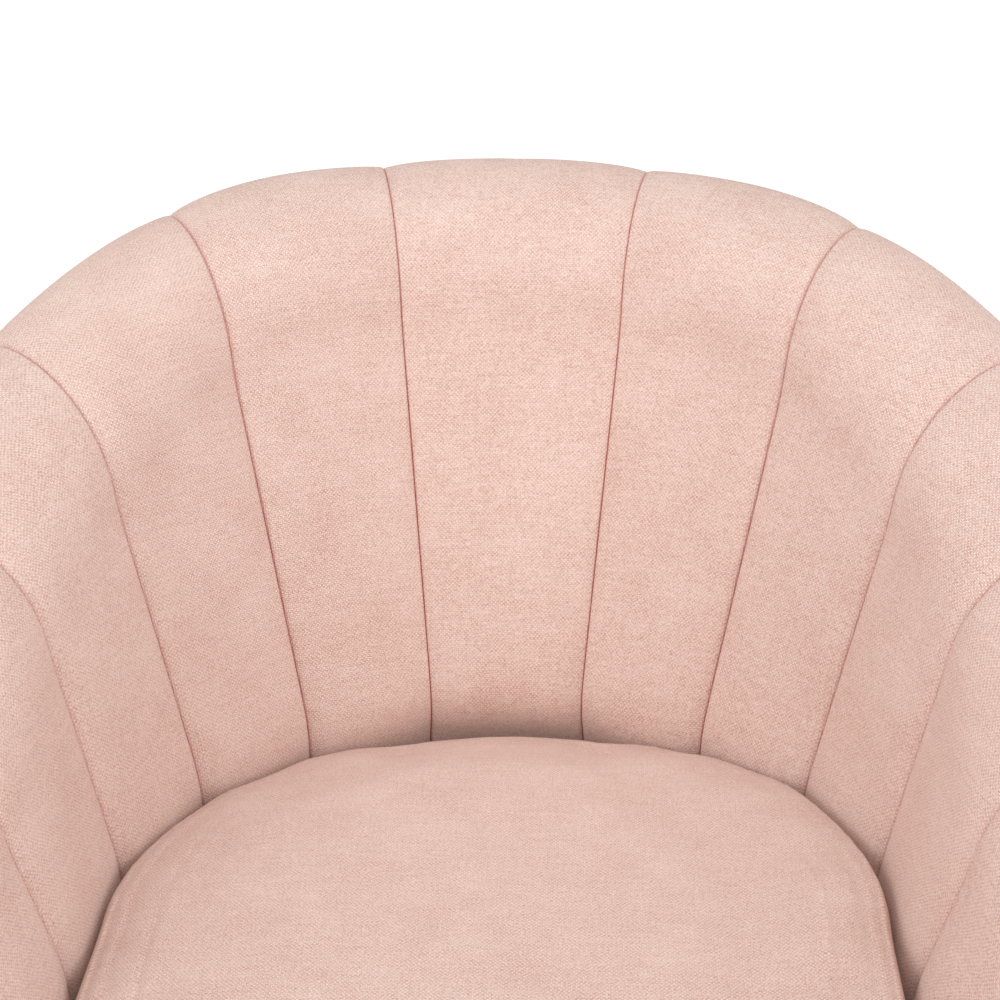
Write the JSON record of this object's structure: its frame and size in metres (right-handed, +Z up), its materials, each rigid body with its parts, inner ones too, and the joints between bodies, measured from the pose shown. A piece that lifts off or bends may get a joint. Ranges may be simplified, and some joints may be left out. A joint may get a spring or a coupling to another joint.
{
  "type": "glider nursery chair",
  "caption": "Upholstered tub chair with vertical channels and a loose round-backed cushion, gliding on hanging links over a swivel base.",
  "frame": {"origin": "on the floor, on the swivel axis, at the middle of the chair's width and depth", "axes": "+X to the right as seen by someone facing the chair from the front, +Y towards the back of the chair, +Z up; the sitter faces -Y"},
  "size_m": [0.851, 0.8173, 0.805],
  "materials": {
    "upholstery": "matt fine linen-look weave, blush pink",
    "deck_cloth": "plain cotton deck cloth",
    "dust_cloth": "black non-woven cloth",
    "hardwood": "planed, unfinished",
    "black_steel": "black powder coat",
    "zinc_steel": "zinc plated",
    "spring_steel": "oiled spring wire",
    "rubber": "matt",
    "nylon": "moulded, matt"
  },
  "bodies": {
    "base": {"floor_glide_front": "nylon", "floor_glide_right": "nylon", "floor_glide_rear": "nylon", "floor_glide_left": "nylon", "base_frame": "black_steel", "swivel_lower_race": "zinc_steel", "kingpin": "zinc_steel"},
    "carriage": {"swivel_upper_race": "zinc_steel", "swivel_plate": "black_steel", "side_plate_left": "black_steel", "side_plate_right": "black_steel", "upper_axle_front": "zinc_steel", "upper_axle_rear": "zinc_steel", "stop_bumper_left": "rubber", "stop_bumper_right": "rubber"},
    "link_front_left": {"glide_link_front_left": "black_steel"},
    "link_front_right": {"glide_link_front_right": "black_steel"},
    "link_rear_left": {"glide_link_rear_left": "black_steel"},
    "link_rear_right": {"glide_link_rear_right": "black_steel"},
    "seat": {"seat_hanger_left": "black_steel", "seat_hanger_right": "black_steel", "lower_pin_front_left": "zinc_steel", "lower_pin_front_right": "zinc_steel", "lower_pin_rear_left": "zinc_steel", "lower_pin_rear_right": "zinc_steel", "channel_centre": "upholstery", "channel_left_1": "upholstery", "channel_right_1": "upholstery", "channel_left_2": "upholstery", "channel_right_2": "upholstery", "channel_left_3": "upholstery", "channel_right_3": "upholstery", "channel_left_4": "upholstery", "channel_right_4": "upholstery", "channel_left_5": "upholstery", "channel_right_5": "upholstery", "channel_left_6": "upholstery", "channel_right_6": "upholstery", "arm_front_left": "upholstery", "arm_front_right": "upholstery", "outer_back": "upholstery", "outer_side_left": "upholstery", "outer_side_right": "upholstery", "front_apron": "upholstery", "frame_top_rail": "hardwood", "frame_bottom_hoop": "hardwood", "frame_post_left_1": "hardwood", "frame_post_right_1": "hardwood", "frame_post_left_2": "hardwood", "frame_post_right_2": "hardwood", "seat_rail_front": "hardwood", "seat_rail_rear": "hardwood", "seat_rail_left": "hardwood", "seat_rail_right": "hardwood", "seat_spring_1": "spring_steel", "seat_spring_2": "spring_steel", "seat_spring_3": "spring_steel", "seat_deck": "deck_cloth", "dust_cover": "dust_cloth"},
    "cushion": {"seat_cushion": "upholstery"}
  },
  "joints": [
    {"name": "swivel", "type": "hinge", "parent": "base", "child": "carriage", "pos_m": [0, 0, 0.05], "axis": [0, 0, 1], "continuous": true},
    {"name": "glide", "type": "hinge", "parent": "carriage", "child": "link_front_left", "pos_m": [-0.163, -0.1, 0.225], "axis": [1, 0, 0], "range_deg": [-25, 25]},
    {"name": "seat_level", "type": "hinge", "parent": "link_front_left", "child": "seat", "pos_m": [-0.163, -0.1, 0.095], "axis": [1, 0, 0], "range_deg": [-25, 25]},
    {"name": "glide_front_right", "type": "hinge", "parent": "carriage", "child": "link_front_right", "pos_m": [0.163, -0.1, 0.225], "axis": [1, 0, 0], "range_deg": [-25, 25]},
    {"name": "glide_rear_left", "type": "hinge", "parent": "carriage", "child": "link_rear_left", "pos_m": [-0.163, 0.1, 0.225], "axis": [1, 0, 0], "range_deg": [-25, 25]},
    {"name": "glide_rear_right", "type": "hinge", "parent": "carriage", "child": "link_rear_right", "pos_m": [0.163, 0.1, 0.225], "axis": [1, 0, 0], "range_deg": [-25, 25]},
    {"name": "cushion_lift", "type": "slide", "parent": "seat", "child": "cushion", "axis": [0, 0, 1], "range_m": [0, 0.15]}
  ],
  "couplings": [
    {"joint": "seat_level", "follows": "glide", "ratio": -1},
    {"joint": "glide_front_right", "follows": "glide", "ratio": 1},
    {"joint": "glide_rear_left", "follows": "glide", "ratio": 1},
    {"joint": "glide_rear_right", "follows": "glide", "ratio": 1}
  ]
}
